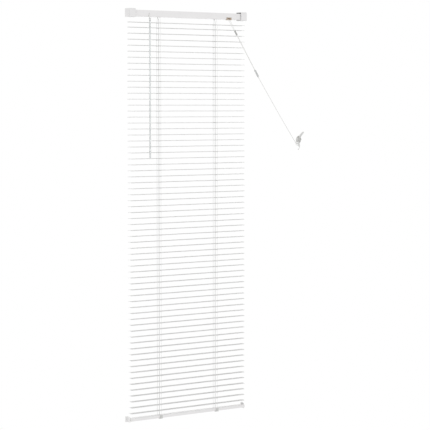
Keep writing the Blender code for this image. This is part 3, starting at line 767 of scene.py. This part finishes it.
def make_cleat():
    """A moulded cleat: two tapered horns swept from an oval foot."""
    stations = HORN + [(-along, y, size) for along, y, size in reversed(HORN[:-1])]
    bar = sweep("horns", [cleat_point(along, 0, y) for along, y, _ in stations],
                HORN_RADIUS, 20, [size for _, _, size in stations])
    foot = bmesh.new()
    rings = []
    for y, across, along in FOOT:
        angles = [math.tau * k / FOOT_SIDES for k in range(FOOT_SIDES)]
        rings.append([foot.verts.new(cleat_point(along * math.sin(a), across * math.cos(a), y))
                      for a in angles])
    for a, b in zip(rings, rings[1:]):
        for k in range(FOOT_SIDES):
            n = (k + 1) % FOOT_SIDES
            foot.faces.new((a[k], a[n], b[n], b[k]))
    foot.faces.new(rings[0])
    foot.faces.new(list(reversed(rings[-1])))
    foot_obj = piece("cleat_foot_work", from_bmesh("foot", foot), WHITE_MOULDED)
    body = modified(bar, 40.0, ("BOOLEAN", {"operation": "UNION", "object": foot_obj}))
    bpy.data.objects.remove(foot_obj, do_unlink=True)
    # The cleat's grey finish is painted shade on white plastic.
    cleat = piece("wall_cleat", body, CLEAT_SHADED_MOULDED)
    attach(cleat, "root")
    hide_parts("cleat")


# ---------------------------------------------------------------- tilter and wand

WORM_SPIN = next(joint for joint in frame["joints"] if joint["name"] == "worm_spin")
WORM_DOWN = Vector(WORM_SPIN["axis"])
EYE = Vector(WORM_SPIN["pos_m"])
EYE_DISTANCE = 25.7 * MM         # from the worm's middle down to its eye
SHAFT_RADIUS = 1.75 * MM
EYE_THICK = 0.7 * MM
WAND_SIDES = 6
GRIP_LENGTH = 78 * MM
GRIP_RIBS = 7


def make_worm():
    """A threaded worm on a shaft that ends in a round eye."""
    mesh_point = EYE - WORM_DOWN * EYE_DISTANCE
    shaft_end = EYE_DISTANCE - 1.9 * MM
    profile = [(0.0, -4.5 * MM), (1.5 * MM, -4.5 * MM), (1.9 * MM, -4.0 * MM),
               (1.9 * MM, 3.4 * MM), (SHAFT_RADIUS, 3.9 * MM), (SHAFT_RADIUS, shaft_end),
               (0.0, shaft_end)]
    core = lathe("core", profile, mesh_point, WORM_DOWN, 24)
    turn = WORM_DOWN.to_track_quat("Z", "Y").to_matrix()
    thread = []
    for i in range(73):
        angle = math.tau * i / 18
        height = (-3.5 + 6.6 * i / 72) * MM
        local = Vector((2.0 * MM * math.cos(angle), 2.0 * MM * math.sin(angle), height))
        thread.append(mesh_point + turn @ local)
    helix = sweep("thread", thread, 0.62 * MM, 6)
    eye = [(SHAFT_RADIUS + EYE_THICK * math.cos(a), EYE_THICK * math.sin(a))
           for a in (math.tau * k / 12 for k in range(12))]
    ring = lathe("eye", eye, EYE, (1, 0, 0), 28, ring=True)
    worm = piece("worm_and_eye", joined(core, helix, ring), WHITE_MOULDED)
    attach(worm, "tilter_worm")
    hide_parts("tilter_worm")


def make_wand_link():
    """A shackle: two cheeks with a pin through the worm's eye, on a sleeve that holds the wand."""
    x, y, z = EYE
    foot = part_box("wand_link")[0].z - z
    shape = [(0.0, foot), (3.3 * MM, foot), (3.6 * MM, foot + 0.5 * MM),
             (3.6 * MM, -8.2 * MM), (2.9 * MM, -6.2 * MM), (0.0, -5.6 * MM)]
    pin_radius, pin_end = 0.75 * MM, 3.9 * MM
    pin = [(0.0, -pin_end), (pin_radius, -pin_end), (pin_radius, pin_end), (0.0, pin_end)]
    parts = [lathe("sleeve", shape, EYE, (0, 0, 1), 24), lathe("pin", pin, EYE, (1, 0, 0), 16)]
    cheek = ((1.9, -7.0), (3.2, -4.8), (3.6, -2.0), (3.6, 0.4), (3.6, 1.4))
    for side in (-1, 1):
        arm = [Vector((x + side * out * MM, y, z + up * MM)) for out, up in cheek]
        parts.append(sweep("arm", smooth_route(arm, 4), 0.95 * MM, 10))
    link = piece("wand_shackle", joined(*parts), CONNECTOR_CLEAR)
    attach(link, "wand_link")
    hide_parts("wand_link")


def make_wand():
    """A six-sided wand with a necked top and a rounded, ribbed grip at its foot."""
    low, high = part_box("wand")
    centre = (low + high) / 2
    wide = (high.y - low.y) / 2
    levels = [(high.z, 0.5), (high.z - 0.6 * MM, 0.68), (high.z - 5 * MM, 0.7),
              (high.z - 7 * MM, 0.98)]
    for share in (0.25, 0.5, 0.75):
        levels.append((high.z + (low.z - high.z) * share, 0.98))
    grip = low.z + GRIP_LENGTH
    levels += [(grip + 3 * MM, 0.98), (grip, 1.0)]
    for i in range(GRIP_RIBS):
        z = grip - (5 + 10 * i) * MM
        levels += [(z + 2 * MM, 1.0), (z + 1 * MM, 0.9), (z - 1 * MM, 0.9), (z - 2 * MM, 1.0)]
    levels += [(low.z + 1.6 * MM, 1.0), (low.z + 0.5 * MM, 0.86), (low.z, 0.6)]
    shape = bmesh.new()
    rings = []
    for z, size in levels:
        angles = [math.tau * k / WAND_SIDES for k in range(WAND_SIDES)]
        rings.append([shape.verts.new((centre.x + wide * size * math.sin(a),
                                       centre.y + wide * size * math.cos(a), z))
                      for a in angles])
    for a, b in zip(rings, rings[1:]):
        for k in range(WAND_SIDES):
            n = (k + 1) % WAND_SIDES
            shape.faces.new((a[k], a[n], b[n], b[k]))
    shape.faces.new(rings[0])
    shape.faces.new(list(reversed(rings[-1])))
    mesh = modified(from_bmesh("wand", shape), 28.0,
                    ("BEVEL", {"width": 0.35 * MM, "segments": 2, "limit_method": "ANGLE",
                               "angle_limit": math.radians(30)}))
    wand = piece("tilt_wand", mesh, WAND_CLEAR)
    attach(wand, "wand")
    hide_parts("wand")


# ---------------------------------------------------------------- small hardware

def screw(name, centre, direction, radius, finish):
    """A pan head with a cross recess."""
    dome = [(0.0, 0.0), (radius, 0.0), (radius, radius * 0.18)]
    dome += [(radius * math.cos(a), radius * (0.18 + 0.4 * math.sin(a)))
             for a in (math.radians(18 * i) for i in range(1, 5))]
    head = lathe(name, dome + [(0.0, radius * 0.58)], centre, direction, 28)
    turn = Vector(direction).normalized().to_track_quat("Z", "Y").to_matrix().to_4x4()
    crossing = bmesh.new()
    for spin in (20, 110):
        bar = Matrix.Translation(Vector(centre)) @ turn
        bar = bar @ Matrix.Rotation(math.radians(spin), 4, "Z")
        bar = bar @ Matrix.Translation((0, 0, radius * 0.62)) @ Matrix.Diagonal(
            (radius * 1.1, radius * 0.24, radius * 0.56, 1.0))
        bmesh.ops.create_cube(crossing, size=1.0, matrix=bar)
    cutter = piece("recess_work", from_bmesh("recess", crossing), ZINC)
    cut = ("BOOLEAN", {"operation": "DIFFERENCE", "object": cutter, "use_self": True})
    mesh = modified(head, 40.0, cut)
    bpy.data.objects.remove(cutter, do_unlink=True)
    made = piece(name, mesh, finish)
    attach(made, "root")


TO_ROOM = (0, -1, 0)
STEEL_THICK = 1.4 * MM           # of the brackets' and hold-downs' steel
BRACKET_SCREW_Z = -17 * MM
BRACKET_SCREWS = (8 * MM, 22 * MM)   # outwards from a bracket's inner side
HOLD_DOWN_SCREW = 5.0 * MM           # inwards from a hold-down's outer side


def make_screws():
    for side, sign in (("left", -1), ("right", 1)):
        low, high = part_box(f"bracket_{side}")
        near = min(abs(low.x), abs(high.x))
        for k, offset in enumerate(BRACKET_SCREWS):
            place = (sign * (near + offset), high.y - STEEL_THICK, BRACKET_SCREW_Z)
            screw(f"bracket_screw_{side}_{k + 1}", place, TO_ROOM, 3.2 * MM, ZINC)
        low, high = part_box(f"hold_down_{side}")
        outer = max(abs(low.x), abs(high.x))
        place = (sign * (outer - HOLD_DOWN_SCREW), high.y - STEEL_THICK,
                 middle(f"hold_down_{side}").z)
        screw(f"hold_down_screw_{side}", place, TO_ROOM, 3.0 * MM, HOLD_DOWN_PAINT)
    screw("cleat_screw", cleat_point(0, 0, 1.15), TO_ROOM, 2.6 * MM, ZINC)


def make_door_lips():
    """The rolled lip that a thumb pulls to open each bracket's door."""
    for side in ("left", "right"):
        low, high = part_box(f"bracket_door_{side}")
        centre = (low + high) / 2
        half = (high.x - low.x) / 2 - 4 * MM
        points = [Vector((centre.x - half + 2 * half * i / 6, low.y - 0.2 * MM, high.z - 2.2 * MM))
                  for i in range(7)]
        sizes = [0.55, 0.9, 1.0, 1.0, 1.0, 0.9, 0.55]
        roll = sweep("lip", points, 0.9 * MM, 12, sizes)
        lip = piece(f"door_lip_{side}", roll, STEEL_PAINT)
        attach(lip, f"bracket_door_{side}")


def dress_frame_nodes():
    """Pressed and moulded parts keep the frame's shapes, with rounded edges and finishes."""
    soften("headrail", STEEL_PAINT, 0.3 * MM, 3)
    soften("bottom_rail", STEEL_PAINT, 0.25 * MM)
    for side in ("left", "right"):
        soften(f"bracket_{side}", BRACKET_PAINT, 0.45 * MM, 3)
        soften(f"bracket_door_{side}", BRACKET_PAINT, 0.3 * MM, 3)
        soften(f"cradle_{side}", GREY_MOULDED, 0.3 * MM)
        soften(f"drum_{side}", WHITE_MOULDED, 0.25 * MM)
        soften(f"rail_cap_{side}", WHITE_MOULDED, 0.5 * MM, 3)
        soften(f"rail_button_{side}", CLIP_MOULDED, 0.35 * MM, 3)
        soften(f"hold_down_{side}", HOLD_DOWN_PAINT, 0.35 * MM, 3)
    soften("tilt_rod", ZINC, 0.3 * MM)
    soften("tilter_housing", WHITE_MOULDED, 0.35 * MM)
    soften("tilter_gear", WHITE_MOULDED, 0.15 * MM)
    soften("cord_lock_housing", BRONZE, 0.35 * MM, 3)
    soften("lock_roller", ZINC, 0.25 * MM)
    soften("lock_pawl", ZINC, 0.2 * MM)


# ---------------------------------------------------------------- studio

def make_lights():
    world = bpy.data.worlds.new("studio")
    world.use_nodes = True
    backdrop = world.node_tree.nodes["Background"].inputs
    backdrop["Color"].default_value = (WORLD_WHITE, WORLD_WHITE, WORLD_WHITE, 1.0)
    backdrop["Strength"].default_value = 1.0
    bpy.context.scene.world = world
    bpy.context.scene.view_settings.view_transform = "Standard"
    for name, spot, size, power in LIGHTS:
        light = bpy.data.lights.new(name, "AREA")
        light.size = size
        light.energy = power
        lamp = bpy.data.objects.new(name, light)
        lamp.location = spot
        towards = Vector(LIGHT_AIM) - Vector(spot)
        lamp.rotation_euler = towards.to_track_quat("-Z", "Y").to_euler()
        bpy.context.scene.collection.objects.link(lamp)


def make_camera():
    ahead = Vector((math.sin(CAMERA_AZIMUTH), math.cos(CAMERA_AZIMUTH), 0.0))
    aside = Vector((math.cos(CAMERA_AZIMUTH), -math.sin(CAMERA_AZIMUTH), 0.0))
    camera = bpy.data.objects.new("camera", bpy.data.cameras.new("camera"))
    camera.location = (ahead * -CAMERA_DISTANCE + aside * CAMERA_ASIDE
                       + Vector((0, 0, CAMERA_HEIGHT)))
    look = ahead * math.cos(CAMERA_PITCH) - Vector((0, 0, math.sin(CAMERA_PITCH)))
    camera.rotation_euler = look.to_track_quat("-Z", "Y").to_euler()
    camera.data.lens = CAMERA_LENS
    camera.data.sensor_width = SENSOR_WIDTH
    camera.data.clip_start = 0.1
    camera.data.clip_end = 100.0
    bpy.context.scene.collection.objects.link(camera)
    bpy.context.scene.camera = camera


make_camera()
make_lights()
make_slats()
make_ladders()
make_lift_cords()
bead = make_stop()
halves = make_connector()
make_pull_cords()
make_cord_tail()
make_cleat()
make_worm()
make_wand_link()
make_wand()
make_screws()
make_door_lips()
dress_frame_nodes()
